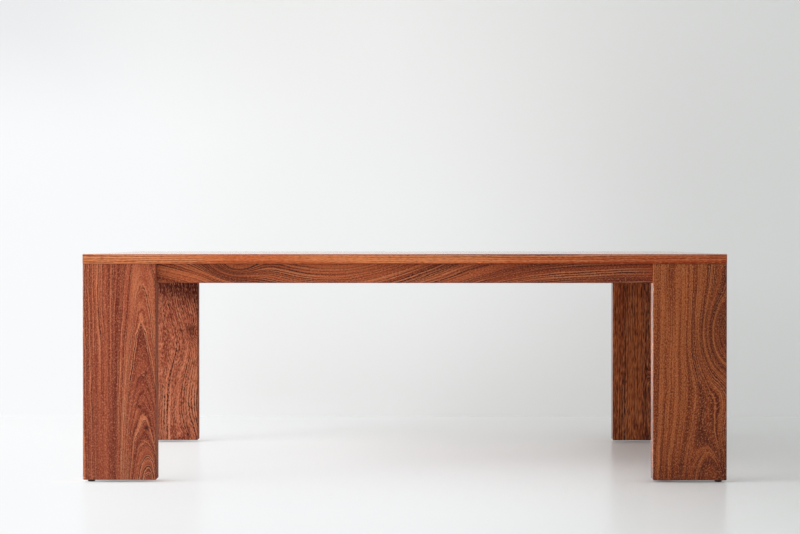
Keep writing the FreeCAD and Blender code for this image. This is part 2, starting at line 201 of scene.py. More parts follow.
def growth_rings(tree, point, facing, pith, arch, peaks, swirls, seed, size, run):
    """The distance from the tree's pith in millimetres, bent by an arch up the plank, by peaks, swirls and
    chance. Also gives the place across the fibres, which arches and peaks don't bend, and how steeply the
    rings change along the surface."""
    side, depth = pith
    from_pith = moved(tree, "MULTIPLY_ADD", point, (1, 1, 0), (-side, -depth, 0))
    rings = measured(tree, "LENGTH", from_pith)
    slope = moved(tree, "NORMALIZE", from_pith)
    fibres = measured(tree, "DOT_PRODUCT", point, (-1 if side > size[0] / 2 else 1, 0, 0))
    if arch:
        lean, top, half_width = arch
        aside = measured(tree, "LENGTH", moved(tree, "MULTIPLY", from_pith, (1 / half_width, 0, 0)))
        fall = worked_out(tree, "MULTIPLY", worked_out(tree, "POWER", aside, ARCH_SQUARENESS), -1.0)
        height = measured(tree, "DOT_PRODUCT", moved(tree, "SUBTRACT", point, (0, 0, top)), (0, 0, lean))
        rings = worked_out(tree, "MULTIPLY_ADD", height, worked_out(tree, "EXPONENT", fall), rings)
        slope = moved(tree, "ADD", slope, (0, 0, lean))
    bends = [(peak, False) for peak in peaks] + [(swirl, True) for swirl in swirls]
    for (across, along, half_width, half_length, push), fibres_follow in bends:
        hump, tilt = bell_and_slope(tree, point, (across, 0, along), (half_width, 0, half_length))
        bend = worked_out(tree, "MULTIPLY", hump, push)
        rings = worked_out(tree, "ADD", rings, bend)
        slope = moved(tree, "ADD", slope, scaled(tree, tilt, bend))
        if fibres_follow:
            fibres = worked_out(tree, "ADD", fibres, bend)
    slope = moved(tree, "SUBTRACT", slope, moved(tree, "PROJECT", slope, facing))
    steepness = worked_out(tree, "MAXIMUM", measured(tree, "LENGTH", slope), LEAST_STEEPNESS)
    for (across, through, along), sway, least, fibres_follow in WANDERINGS:
        drawn = cloud(tree, point, (across, through, along * run), seed)
        chance = worked_out(tree, "SUBTRACT", drawn, CLOUD_MIDDLE)
        hold = worked_out(tree, "MINIMUM", worked_out(tree, "MAXIMUM", steepness, least), 1.0)
        shift = worked_out(tree, "MULTIPLY", worked_out(tree, "MULTIPLY", chance, hold), sway)
        rings = worked_out(tree, "ADD", rings, shift)
        if fibres_follow:
            fibres = worked_out(tree, "ADD", fibres, shift)
    return rings, fibres, steepness


def with_across(tree, across, point):
    """A point with another number as its place across the plank."""
    apart = tree.nodes.new("ShaderNodeSeparateXYZ")
    feed(tree, apart.inputs["Vector"], point)
    together = tree.nodes.new("ShaderNodeCombineXYZ")
    for socket, value in zip(together.inputs, (across, apart.outputs["Y"], apart.outputs["Z"])):
        feed(tree, socket, value)
    return together.outputs["Vector"]


# The broad and the fine bands: their spans across the rings, through and along the plank, their contrast
# and how much detail they hold.
BANDS = (
    ((18, 160, 1400), 1.2, 2.0),
    ((5, 60, 420), 0.6, 3.0),
)
MIDDLE_TONE = 0.5


def banded_tone(tree, grain, seed, bands, run):
    """How light the wood is, about its middle tone, in broad and fine bands that follow the rings."""
    tone = MIDDLE_TONE
    for layer, ((across, through, along), contrast, detail) in enumerate(BANDS, 1):
        band = cloud(tree, grain, (across, through, along * run), seed + layer, detail)
        tone = worked_out(tree, "MULTIPLY_ADD", band, contrast * bands, tone)
        tone = worked_out(tree, "SUBTRACT", tone, contrast * bands / 2)
    return tone


DARK_TONE = 0.15
LIGHT_TONE = 0.85


def coloured(tree, tone, dark, middle, light):
    """The colour of a tone between dark and light."""
    ramp = tree.nodes.new("ShaderNodeValToRGB")
    stops = ramp.color_ramp.elements
    stops[0].position = DARK_TONE
    stops[0].color = dark
    stops[1].position = LIGHT_TONE
    stops[1].color = light
    stops.new(MIDDLE_TONE).color = middle
    tree.links.new(tone, ramp.inputs["Fac"])
    return ramp.outputs["Color"]


# How far the pale line lies from its ring and how far each line reaches, in millimetres, and how strong
# each line is.
PALE_LINE_OFFSET = 3.2
LINE_CORE = 0.3
PALE_LINE_REACH = 1.8
DARK_LINE_REACH = 2.2
PALE_LINE_STAIN = 0.5
DARK_LINE_STAIN = 0.8


def lined(tree, colour, from_ring, strength, dark_line, pale_line):
    """A colour with a dark line on each ring and a pale one beside it."""
    from_pale = worked_out(tree, "ABSOLUTE", worked_out(tree, "SUBTRACT", from_ring, PALE_LINE_OFFSET))
    pale_share = eased_step(tree, from_pale, LINE_CORE, PALE_LINE_REACH, PALE_LINE_STAIN, 0.0)
    dark_share = eased_step(tree, from_ring, LINE_CORE, DARK_LINE_REACH, DARK_LINE_STAIN, 0.0)
    for share, line in ((pale_share, pale_line), (dark_share, dark_line)):
        share = worked_out(tree, "MULTIPLY", share, strength)
        colour = stained(tree, colour, worked_out(tree, "MINIMUM", share, 1.0), line)
    return colour


EDGE_BAND = 2.6


def edge_nearness(tree, point, size):
    """How near a point is to the piece's arrises, and to its ends: 1 there and 0 from a little way in."""
    half = [length / 2 for length in size]
    from_middle = moved(tree, "ABSOLUTE", moved(tree, "SUBTRACT", point, half))
    inwards = moved(tree, "SUBTRACT", half, from_middle)
    nearness = moved(tree, "MULTIPLY_ADD", inwards, [-1 / EDGE_BAND] * 3, (1, 1, 1))
    apart = tree.nodes.new("ShaderNodeSeparateXYZ")
    feed(tree, apart.inputs["Vector"], moved(tree, "MAXIMUM", nearness, (0, 0, 0)))
    across, through, along = apart.outputs
    arris = worked_out(tree, "MULTIPLY", across, through)
    for pair in ((across, along), (through, along)):
        arris = worked_out(tree, "MAXIMUM", arris, worked_out(tree, "MULTIPLY", *pair))
    return arris, along


SATIN = 0.38
OIL_GLOSS = 0.25
FLECK_RANGE = (0.3, 0.7)
FLECK_DULLNESS = 0.04
PORE_DULLNESS = 0.15
PORE_SINK = -0.7
RELIEF_DEPTH = 0.0002
# How squarely a surface has to face a way to start to count as that side, and to count in full.
SIDE_FROM = 0.6
SIDE_FULL = 0.9


def oiled(tree, shader, facing, fleck, pores, polish, sides, relief):
    """An oil finish: satin in front, and as rough as polish and sides say on the far face and the edges."""
    shader.inputs["Specular IOR Level"].default_value = OIL_GLOSS
    away = measured(tree, "DOT_PRODUCT", facing, (0, 1, 0))
    rough = eased_step(tree, away, SIDE_FROM, SIDE_FULL, SATIN, polish)
    aside = measured(tree, "DOT_PRODUCT", facing, (1, 0, 0))
    for way, side in zip((-1, 1), sides):
        change = eased_step(tree, aside, way * SIDE_FROM, way * SIDE_FULL, 0.0, side - SATIN)
        rough = worked_out(tree, "ADD", rough, change)
    sheen = eased_step(tree, fleck, *FLECK_RANGE, FLECK_DULLNESS, -FLECK_DULLNESS)
    rough = worked_out(tree, "ADD", rough, sheen)
    tree.links.new(worked_out(tree, "MULTIPLY_ADD", pores, PORE_DULLNESS, rough), shader.inputs["Roughness"])
    raised(tree, shader, worked_out(tree, "MULTIPLY_ADD", pores, PORE_SINK, fleck), relief, RELIEF_DEPTH)


# How uneven the gaps between rings are, how much a ring darkens as it ripens, how strong its lines stay where
# they break and away from the heart, and how many times the heart's width that takes.
RING_UNEVENNESS = 2.4
RING_RIPENING = 0.3
BROKEN_LINES = 0.3
FADED_LINES = 0.25
HEART_FADE = 1.6
# The spans of chance in the rings: across in ring gaps, and through and along in millimetres.
UNEVEN_SPANS = (3, 200, 900)
VIGOUR_SPANS = (0.8, 90, 500)
# The spans of breaks, flecks, pores, and checks and painted shade in millimetres.
BREAK_WIDTH = 50
BREAK_LENGTH = 130
FLECK_WIDTH = 2.6
PORE_WIDTH = 0.8
PORE_LENGTH = 9
CHECK_AND_SHADE_SPANS = (3, 9, 16)
# Each kind of mark follows a value that goes from 0 to 1: where it starts to show, and where it is full.
VIGOUR = (0.36, 0.64)
UNBROKEN = (0.36, 0.62)
PALE_FLECKS_AND_SHEEN = (0.48, 0.76)
DARK_FLECKS = (0.52, 0.24)
PORES = (0.6, 0.7)
CHECK_AND_SHADE_RANGE = (0.4, 0.55)
DARK_ENDS = (0.9, 0.99)
# How much flecks, pores, ends and edges stain the wood. The pale flecks are partly the wood's figure and
# partly painted sheen.
FLECK_STAIN = 0.75
PORE_STAIN = 0.4
END_STAIN = 0.3
EDGE_STAIN = 0.85


def ring_cloud(tree, grain, spans, ring_gap, run, seed):
    """A cloud that follows the rings, with its span across them in ring gaps."""
    gaps, through, along = spans
    return cloud(tree, grain, (gaps * ring_gap, through, along * run), seed)


def wood(name, node, turn, pith, palette, seed, arch=None, peaks=(), swirls=(), stripes=(), patches=(),
         marks=(), depth=0, bands=1.0, drift=0.0, ring_gap=13, lines=1.0, heart=None, flecks=1.0,
         fleck_length=6, run=1.0, polish=SATIN, sides=(SATIN, SATIN), relief=0.3, space=plank_space):
    """A plank cut from its own place in a tree, planed and oiled, with its lengths in millimetres.
    The pith is the tree's middle, across and through the plank. An arch is its lean, the height of its top
    and its half-width. A peak or a swirl is its place across and along, its half-widths and how far it pushes
    the rings. A stripe is a ring, its half-width and how much lighter it is. A patch is its place, its
    half-widths and how much lighter it is. A mark is the place and the half-widths of a ragged dark mark,
    mostly a check. At the back left leg's top a dark patch, two marks and the drift are painted shade.
    Patches and marks go right through the plank, or fade with depth from its front. Bands, lines and flecks
    are how strong these are, and heart is how far from the pith the lines stay so. Drift is how much the
    plank lightens along its length, and run is how far its figure is drawn out. Polish is the roughness of
    its far face, sides are those of its two edges, and relief is how strongly its flecks and pores stand out."""
    material, tree, shader = new_finish(name)
    dark, middle, light, dark_line, pale_line = palette
    point, facing, size = space(tree, node, turn)
    rings, fibres, steepness = growth_rings(tree, point, facing, pith, arch, peaks, swirls, seed, size, run)
    grain = with_across(tree, rings, point)
    thread = with_across(tree, fibres, point)

    # Tone: bands along the rings, each ring darker as it ripens, the plank's own stripes, and patches; the
    # dark patch at the back left leg's top is painted shade.
    # Each kind of chance, here and below, adds its own number to the seed.
    uneven = ring_cloud(tree, grain, UNEVEN_SPANS, ring_gap, run, seed + 8)
    whole_rings = worked_out(tree, "DIVIDE", rings, ring_gap)
    ring_count = worked_out(tree, "MULTIPLY_ADD", uneven, RING_UNEVENNESS, whole_rings)
    age = worked_out(tree, "FRACT", ring_count)
    vigour = eased_step(tree, ring_cloud(tree, grain, VIGOUR_SPANS, ring_gap, run, seed + 3), *VIGOUR)
    ripening = worked_out(tree, "MULTIPLY", worked_out(tree, "SUBTRACT", 0.5, age), vigour)
    tone = banded_tone(tree, grain, seed, bands, run)
    tone = worked_out(tree, "MULTIPLY_ADD", ripening, RING_RIPENING * lines, tone)
    tone = worked_out(tree, "ADD", tone, measured(tree, "DOT_PRODUCT", point, (0, 0, drift / size[2])))
    tone = worked_out(tree, "SUBTRACT", tone, drift / 2)
    for ring, half_width, lift in stripes:
        stripe = bell(tree, grain, (ring, 0, 0), (half_width, 0, 0))
        tone = worked_out(tree, "MULTIPLY_ADD", stripe, lift, tone)
    for across, along, half_width, half_length, lift in patches:
        patch = bell(tree, point, (across, 0, along), (half_width, depth, half_length))
        tone = worked_out(tree, "MULTIPLY_ADD", patch, lift, tone)
    colour = coloured(tree, tone, dark, middle, light)

    # Lines: drawn on the rings where they grew well, in broken lengths, and fainter away from the heart.
    from_ring = worked_out(tree, "MULTIPLY", worked_out(tree, "PINGPONG", ring_count, 0.5), ring_gap)
    from_ring = worked_out(tree, "DIVIDE", from_ring, steepness)
    stretches = cloud(tree, point, (BREAK_WIDTH, BREAK_WIDTH, BREAK_LENGTH * run), seed + 4)
    broken = eased_step(tree, stretches, *UNBROKEN, BROKEN_LINES * lines, lines)
    strength = worked_out(tree, "MULTIPLY", broken, vigour)
    if heart:
        near_heart = eased_step(tree, rings, heart, heart * HEART_FADE, 1.0, FADED_LINES)
        strength = worked_out(tree, "MULTIPLY", strength, near_heart)
    colour = lined(tree, colour, from_ring, strength, dark_line, pale_line)

    # Flecks and pores along the fibres, the pale flecks partly painted sheen; ragged dark marks, which are
    # checks and, at the back left leg's top, painted shade; and darker edges and ends.
    fleck = cloud(tree, thread, (FLECK_WIDTH, FLECK_WIDTH, fleck_length), seed + 5, 3.0)
    for shown, line in ((PALE_FLECKS_AND_SHEEN, pale_line), (DARK_FLECKS, dark_line)):
        colour = stained(tree, colour, eased_step(tree, fleck, *shown, 0.0, FLECK_STAIN * flecks), line)
    pore_spans = (PORE_WIDTH, PORE_WIDTH, PORE_LENGTH * run)
    pores = eased_step(tree, cloud(tree, point, pore_spans, seed + 6, 1.0), *PORES)
    colour = stained(tree, colour, worked_out(tree, "MULTIPLY", pores, PORE_STAIN), dark_line)
    for across, along, half_width, half_length in marks:
        mark = bell(tree, point, (across, 0, along), (half_width, depth, half_length))
        ragged = eased_step(tree, cloud(tree, grain, CHECK_AND_SHADE_SPANS, seed + 7), *CHECK_AND_SHADE_RANGE)
        colour = stained(tree, colour, worked_out(tree, "MULTIPLY", mark, ragged), dark_line)
    arris, near_end = edge_nearness(tree, point, size)
    colour = stained(tree, colour, eased_step(tree, near_end, *DARK_ENDS, 0.0, END_STAIN), dark_line)
    colour = stained(tree, colour, worked_out(tree, "MULTIPLY", arris, EDGE_STAIN), dark_line)
    tree.links.new(colour, shader.inputs["Base Color"])
    oiled(tree, shader, facing, fleck, pores, polish, sides, relief)
    return material


# A piece is turned by these degrees about each axis, so that its grain runs along the third one.
UPRIGHT = (0, 0, 0)
# The legs' left edges are rubbed bright, and the right ones are left dull.
LEG_EDGES = (0.08, 0.75)
LEG_RELIEF = 0.12
LEG_FIGURES = {
    "front_left_leg": {
        "pith": (196, -60),
        "arch": (0.11, 717, 75),
        "peaks": [(221, -20, 30, 85, -48)],
        "swirls": [(240, 60, 45, 150, -10), (195, 640, 34, 130, -10)],
        "stripes": [(102, 9, -0.2), (52, 8, 0.12), (65, 2.6, -0.9), (36, 1, -0.5), (30, 1, -0.5),
                    (10, 1, -0.6), (1, 1, -0.6), (-10, 1.5, -0.6), (-19, 2, 0.4), (-27, 1.5, -0.6),
                    (-34, 2, 0.4), (-42, 1.5, -0.6)],
        "patches": [(186, 215, 20, 60, 0.3), (235, 25, 22, 45, -0.25), (110, 300, 14, 400, -0.1),
                    (200, 330, 45, 260, -0.04), (178, 640, 22, 90, 0.3), (228, 620, 20, 120, 0.15)],
        "marks": [(187, 246, 7, 12), (212, 173, 10, 9), (212, 358, 6, 8)],
        "lines": 3.4,
        "heart": 62,
        "flecks": 0.85,
        "palette": wood_colours((118, 43, 25), (164, 77, 50), (203, 117, 78), (70, 17, 8), (219, 142, 102)),
        "seed": 1,
    },
    "front_right_leg": {
        "pith": (300, -40),
        "peaks": [(203, -30, 64, 175, 125)],
        "swirls": [(250, 460, 85, 130, -135), (250, 320, 95, 170, 85), (120, 0, 130, 230, -30)],
        "stripes": [(151, 1.5, -0.4), (156, 1.5, 0.4), (171, 1.5, -0.6), (176, 1.5, 0.5)],
        "patches": [(235, 640, 35, 150, -0.3), (62, 480, 22, 190, 0.25), (120, 0, 0, 60, -0.25)],
        "bands": 2.0,
        "drift": 0.2,
        "ring_gap": 6.5,
        "lines": 1.5,
        "heart": 130,
        "flecks": 1.25,
        "palette": wood_colours((102, 35, 8), (148, 66, 26), (190, 104, 56), (54, 13, 2), (210, 131, 86)),
        "seed": 12,
    },
    "back_left_leg": {
        "pith": (24, -40),
        "swirls": [(194, 380, 80, 120, -40), (234, 425, 26, 34, 45), (234, 0, 70, 80, -30),
                   (184, 620, 60, 90, 15)],
        # Its top is darker: the patch there, the last two marks and the drift, which darkens it upwards, are
        # painted shade cast by the top and the rail. Depth fades its patches and marks away from its front
        # face; the drift goes right through.
        "patches": [(15, 330, 45, 230, 0.3), (235, 280, 30, 130, 0.3), (215, 625, 130, 60, -0.8),
                    (120, 0, 0, 60, -0.25)],
        "marks": [(212, 442, 14, 8), (208, 28, 8, 14), (226, 300, 7, 12), (220, 615, 70, 60),
                  (150, 630, 130, 45)],
        "depth": 25,
        "drift": -0.3,
        "ring_gap": 9,
        "lines": 1.9,
        "flecks": 1.3,
        "fleck_length": 9,
        "run": 1.5,
        "palette": wood_colours((112, 42, 24), (160, 78, 54), (202, 120, 84), (64, 16, 8), (220, 144, 108)),
        "seed": 23,
    },
    "back_right_leg": {
        "pith": (-60, -40),
        "swirls": [(160, 262, 20, 26, -25)],
        "patches": [(90, 400, 0, 140, 0.2), (90, 20, 0, 70, -0.15)],
        "bands": 1.7,
        "ring_gap": 9,
        "lines": 2.8,
        "flecks": 1.6,
        "fleck_length": 26,
        "run": 2.5,
        "palette": wood_colours((100, 34, 9), (148, 66, 26), (193, 106, 54), (50, 12, 2), (212, 130, 80)),
        "seed": 34,
    },
}
for node, figure in LEG_FIGURES.items():
    leg = wood(node + "_wood", node, UPRIGHT, sides=LEG_EDGES, relief=LEG_RELIEF, **figure)
    finish_with(node, leg)

# Rails
# Four slim rails of the same wood tie the legs together under the top.
# A glued, haunched tenon holds each of their ends.
# They are ripped from planks with wild grain, which runs out along their faces.
ALONG_FRONT = (0, -90, 0)
ALONG_END = (90, 0, 90)
RAIL_COLOURS = wood_colours((104, 34, 12), (164, 71, 37), (207, 109, 64), (58, 14, 5), (219, 136, 91))
RAIL_PITH = (900, 0)
RAIL_FIGURES = {
    "front_rail": {
        "swirls": [(0, 633, 0, 450, 180), (0, 320, 45, 75, 80)],
        "patches": [(64, 1620, 26, 120, -0.4), (0, 475, 0, 70, -0.15), (0, 760, 0, 200, 0.13)],
        "drift": -0.25,
        "seed": 45,
    },
    "back_rail": {"swirls": [(0, 1100, 0, 500, 140), (40, 500, 40, 80, 30)], "drift": 0.2, "seed": 56},
    "left_end_rail": {"swirls": [(0, 300, 0, 300, 60)], "seed": 67},
    "right_end_rail": {"swirls": [(0, 700, 0, 260, -70)], "seed": 78},
}
for node, figure in RAIL_FIGURES.items():
    turn = ALONG_END if "end" in node else ALONG_FRONT
    rail = wood(node + "_wood", node, turn, RAIL_PITH, RAIL_COLOURS, bands=1.3, ring_gap=8, lines=1.6,
                run=2.0, **figure)
    finish_with(node, rail)

# Cross bearers
# Two plain bearers of a paler hardwood cross the frame under the top and keep its boards flat.
# They are left bare, stub-tenoned into the long rails and screwed to the boards through slots.
BARE_COLOURS = wood_colours((140, 96, 60), (172, 126, 86), (198, 154, 110), (112, 72, 42), (214, 176, 136))
BARE_LINES = 0.5
BEARER_PITH = (-70, 140)
for node, seed in (("cross_bearer_1", 81), ("cross_bearer_2", 87)):
    bearer = wood(node + "_wood", node, ALONG_END, BEARER_PITH, BARE_COLOURS, seed, lines=BARE_LINES)
    finish_with(node, bearer)

# Corner blocks
# A three-sided block of the same bare wood is screwed to each leg and its end rail, and braces their corner.
# Its grain runs across the corner, along its long face.
BLOCK_PITH = (-40, -90)
BLOCK_SEED = 91
for corner, angle in (("front_left", -45), ("back_right", -45), ("front_right", 45), ("back_left", 45)):
    node = corner + "_corner_block"
    across_corner = (90, angle, 0)
    block = wood(node + "_wood", node, across_corner, BLOCK_PITH, BARE_COLOURS, BLOCK_SEED, lines=BARE_LINES)
    finish_with(node, block)

# Top buttons
# Small blocks of the bare wood, cut along the grain, are screwed up under the top.
# Their tongues catch in the grooves of the rails, so the top is held down and can still swell and shrink.
# Those on the end rails lie along the table and the others across it.
END_RAIL_BUTTONS_FROM = 900
BUTTON_PITH = (-60, -300)
BUTTON_SEED = 95


def button_space(tree, node, turn):
    """The same as plank_space, with the grain turned along the table near its ends."""
    across_table, facing, size = plank_space(tree, node, turn)
    along_table, end_facing, end_size = plank_space(tree, node, ALONG_FRONT)
    from_end = measured(tree, "DOT_PRODUCT", along_table, (0, 0, 1))
    from_middle = worked_out(tree, "ABSOLUTE", worked_out(tree, "SUBTRACT", from_end, end_size[2] / 2))
    at_end = worked_out(tree, "GREATER_THAN", from_middle, END_RAIL_BUTTONS_FROM)
    point = mixed(tree, "VECTOR", at_end, across_table, along_table)
    return point, mixed(tree, "VECTOR", at_end, facing, end_facing), size


buttons = wood("button_wood", "top_buttons", ALONG_END, BUTTON_PITH, BARE_COLOURS, BUTTON_SEED,
               lines=BARE_LINES, space=button_space)
finish_with("top_buttons", buttons)

# Screws
# Steel wood screws, plated with zinc, hold the buttons, the bearers, the corner blocks and the glides.
# The plating is a dull silver with a faint yellow and blue bloom, and driving the screws has scratched it.
YELLOW_ZINC = screen_colour(196, 188, 168)
BLUE_ZINC = screen_colour(168, 172, 178)
SCRATCHED_ZINC = screen_colour(120, 116, 108)
ZINC_ROUGHNESS = 0.3
BLOOM_SPANS = (4, 4, 4)
BLOOM_RANGE = (0.35, 0.65)
SCRATCH_SPANS = (0.25, 0.9, 3.0)
SCRATCH_RANGE = (0.55, 0.7)
SCRATCH_STAIN = 0.5
SCRATCH_ROUGHNESS = 0.2
SCRATCH_RELIEF = 0.2
SCRATCH_DEPTH = 0.0001


def place_on_piece(tree):
    """A point of a piece in millimetres."""
    place = tree.nodes.new("ShaderNodeTexCoord").outputs["Object"]
    return moved(tree, "MULTIPLY", place, [MILLIMETRES] * 3)


def zinc_plate():
    """Zinc plating with a blotchy bloom and fine scratches."""
    material, tree, shader = new_finish("zinc_plate")
    point = place_on_piece(tree)
    bloom = cloud(tree, point, BLOOM_SPANS, seed=3, detail=3.0)
    scratches = eased_step(tree, cloud(tree, point, SCRATCH_SPANS, seed=5, detail=3.0), *SCRATCH_RANGE)
    colour = stained(tree, YELLOW_ZINC, eased_step(tree, bloom, *BLOOM_RANGE), BLUE_ZINC)
    colour = stained(tree, colour, worked_out(tree, "MULTIPLY", scratches, SCRATCH_STAIN), SCRATCHED_ZINC)
    tree.links.new(colour, shader.inputs["Base Color"])
    shader.inputs["Metallic"].default_value = 1.0
    rough = worked_out(tree, "MULTIPLY_ADD", scratches, SCRATCH_ROUGHNESS, ZINC_ROUGHNESS)
    tree.links.new(rough, shader.inputs["Roughness"])
    raised(tree, shader, scratches, SCRATCH_RELIEF, SCRATCH_DEPTH)
    return material


plating = zinc_plate()
for node in ("button_screws", "bearer_screws", "corner_block_screws", "glide_screws"):
    finish_with(node, plating)

# Glides
# A black moulded plastic disc under the outer end of each leg, screwed on, keeps the end grain off the floor.
# It has a fine moulded grain and pale scuffs from being pushed about.
BLACK_PLASTIC = screen_colour(24, 23, 22)
SCUFFED_PLASTIC = screen_colour(74, 71, 68)
MOULD_GRAIN_SPANS = (0.5, 0.5, 0.5)
MOULD_GRAIN_RANGE = (0.3, 0.7)
MOULD_GRAIN_ROUGHNESS = (0.5, 0.65)
MOULD_GRAIN_RELIEF = 0.4
MOULD_GRAIN_DEPTH = 0.0001
SCUFF_SPANS = (1.2, 8, 2)
SCUFF_RANGE = (0.58, 0.72)
SCUFF_STAIN = 0.6


def moulded_plastic():
    """Matt black plastic with a fine grain and scuffs."""
    material, tree, shader = new_finish("moulded_plastic")
    point = place_on_piece(tree)
    grain = cloud(tree, point, MOULD_GRAIN_SPANS, seed=7)
    scuffs = eased_step(tree, cloud(tree, point, SCUFF_SPANS, seed=9, detail=3.0), *SCUFF_RANGE)
    colour = stained(tree, BLACK_PLASTIC, worked_out(tree, "MULTIPLY", scuffs, SCUFF_STAIN), SCUFFED_PLASTIC)
    tree.links.new(colour, shader.inputs["Base Color"])
    rough = eased_step(tree, grain, *MOULD_GRAIN_RANGE, *MOULD_GRAIN_ROUGHNESS)
    tree.links.new(rough, shader.inputs["Roughness"])
    raised(tree, shader, grain, MOULD_GRAIN_RELIEF, MOULD_GRAIN_DEPTH)
    return material


plastic = moulded_plastic()
for corner in ("front_left", "front_right", "back_left", "back_right"):
    finish_with(corner + "_glide", plastic)

# Top
# Seven boards are glued edge to edge, planed flush with the legs all round, oiled and rubbed to a gloss.
# Each comes from another part of the tree, so arched and straight figure lie side by side.
ALONG_TOP = (0, -90, -90)
TOP_COLOURS = wood_colours((158, 56, 16), (208, 100, 51), (232, 137, 84), (106, 28, 8), (238, 158, 106))
TOP_GLOSS = 0.07
TOP_RELIEF = 0.03
TOP_FIGURES = [
    {
        "pith": (40, -90),
        "patches": [(0, 560, 0, 260, -0.4), (0, 1080, 0, 330, 0.3)],
        "drift": -0.35,
        "seed": 101,
    },
    {"pith": (70, -60), "arch": (0.05, 300, 60), "drift": 0.1, "seed": 112},
    {"pith": (160, -110), "drift": -0.1, "seed": 123},
    {"pith": (60, -50), "arch": (-0.045, 1500, 65), "drift": -0.1, "seed": 134},
    {"pith": (-30, -80), "drift": 0.15, "seed": 145},
    {"pith": (90, -70), "arch": (0.04, 900, 60), "seed": 156},
    {"pith": (50, -120), "arch": (-0.03, 400, 80), "drift": 0.1, "seed": 167},
]
for number, figure in enumerate(TOP_FIGURES, 1):
    node = f"top_board_{number}"
    board = wood(node + "_wood", node, ALONG_TOP, palette=TOP_COLOURS, bands=1.8, ring_gap=7, lines=1.5,
                 flecks=0.7, fleck_length=12, run=4.0, polish=TOP_GLOSS, relief=TOP_RELIEF, **figure)
    finish_with(node, board)

# Room
# A white floor meets a white wall behind the table in a small cove. Both are painted, with a slight gloss,
# and carry a pale painted light, strongest on the left, with painted shade by the right legs and high up on
# the left. They have one painted side only, so the table can be seen from behind the wall and from under the
# floor.
ROOM_REACH = 9
WALL_PLACE = 1.35
WALL_HEIGHT = 6
COVE = 0.015
FACES_AWAY = 0.01
WHITE_PAINT = (0.83, 0.86, 0.84, 1)
PAINT_ROUGHNESS = 0.22
PAINT_GLOSS = 0.35
PAINTED_LIGHT_COLOUR = (0.94, 0.95, 0.965, 1)
# How strong the painted light is in each place, where 1 would hide the paint, and the painted shade that
# takes some of it away.
NEAR_FLOOR_PAINTED_LIGHT = 0.9
TABLE_PAINTED_LIGHT = 0.42
ROOM_PAINTED_LIGHT = 0.28
FAR_LEFT_PAINTED_LIGHT = 0.73
STRONGEST_PAINTED_LIGHT = 0.95
FAR_CORNER_PAINTED_SHADE = -0.18
FLOOR_PAINTED_SHADE = -0.1
UNDER_LEG_SHADE = -0.95
# Where the painted light begins and ends to change, in metres: forward, to a side or up.
TO_NEAR_FLOOR = (-0.9, 1.2)
TO_RIGHT = (-0.2, 1.4)
TO_LEFT = (0.0, -1.0)
TO_FAR_LEFT = (-0.6, -1.8)
TO_HIGH_UP = (1.2, 2.1)
# The middle and the half-widths of each place where the painted light lies stronger or weaker.
WALL_BEHIND_TABLE = ((0, 0, 0.95), (0, 0, 1.0))
FLOOR_UNDER_LEG = ((0.945, 0.508, 0), (0.14, 0.04, 0))
FLOOR_BETWEEN_LEFT_LEGS = ((-0.65, 0.5, 0), (0.5, 0.9, 0.1))
FLOOR_BY_RIGHT_LEGS = ((0.88, 0.25, 0), (0.2, 0.5, 0.2))
FLOOR_PAINTED_LIGHT_AND_SHADE = ((FLOOR_BETWEEN_LEFT_LEGS, 0.3), (FLOOR_BY_RIGHT_LEGS, -0.12))

paint_and_light, mix, coat = new_finish("white_paint_and_painted_light")
coat.inputs["Base Color"].default_value = WHITE_PAINT
coat.inputs["Roughness"].default_value = PAINT_ROUGHNESS
coat.inputs["Specular IOR Level"].default_value = PAINT_GLOSS
room_point = mix.nodes.new("ShaderNodeTexCoord").outputs["Object"]
sideways = measured(mix, "DOT_PRODUCT", room_point, (1, 0, 0))
forward = measured(mix, "DOT_PRODUCT", room_point, (0, -1, 0))
height = measured(mix, "DOT_PRODUCT", room_point, (0, 0, 1))

# The painted light is strong behind the table and on the near floor, strongest on the far left and weak on
# the right. The floor carries less than the wall, more between the left legs, painted shade by the right
# legs, and almost none under the legs, where their real shadow shows.
painted_light_share = bell(mix, room_point, *WALL_BEHIND_TABLE)
painted_light_share = worked_out(mix, "ADD", painted_light_share, eased_step(mix, forward, *TO_NEAR_FLOOR, 0.0, NEAR_FLOOR_PAINTED_LIGHT))
painted_light_share = worked_out(mix, "MULTIPLY", painted_light_share, eased_step(mix, sideways, *TO_RIGHT, TABLE_PAINTED_LIGHT, 0.0))
painted_light_share = worked_out(mix, "ADD", painted_light_share, eased_step(mix, sideways, *TO_FAR_LEFT, ROOM_PAINTED_LIGHT, FAR_LEFT_PAINTED_LIGHT))
painted_light_share = worked_out(mix, "ADD", painted_light_share, eased_step(mix, height, 0.0, COVE, FLOOR_PAINTED_SHADE, 0.0))
for place, change in FLOOR_PAINTED_LIGHT_AND_SHADE:
    painted_light_share = worked_out(mix, "MULTIPLY_ADD", bell(mix, room_point, *place), change, painted_light_share)
under_legs = bell(mix, moved(mix, "ABSOLUTE", room_point), *FLOOR_UNDER_LEG)
painted_light_share = worked_out(mix, "MULTIPLY", painted_light_share, worked_out(mix, "MULTIPLY_ADD", under_legs, UNDER_LEG_SHADE, 1.0))
painted_light_share = worked_out(mix, "MAXIMUM", worked_out(mix, "MINIMUM", painted_light_share, STRONGEST_PAINTED_LIGHT), 0.0)
painted_light = mix.nodes.new("ShaderNodeEmission")
painted_light.inputs["Color"].default_value = PAINTED_LIGHT_COLOUR
# Painted shade dims the painted light high up on the left of the wall.
high_up = eased_step(mix, height, *TO_HIGH_UP)
far_corner = worked_out(mix, "MULTIPLY", high_up, eased_step(mix, sideways, *TO_LEFT))
feed(mix, painted_light.inputs["Strength"], worked_out(mix, "MULTIPLY_ADD", far_corner, FAR_CORNER_PAINTED_SHADE, 1.0))

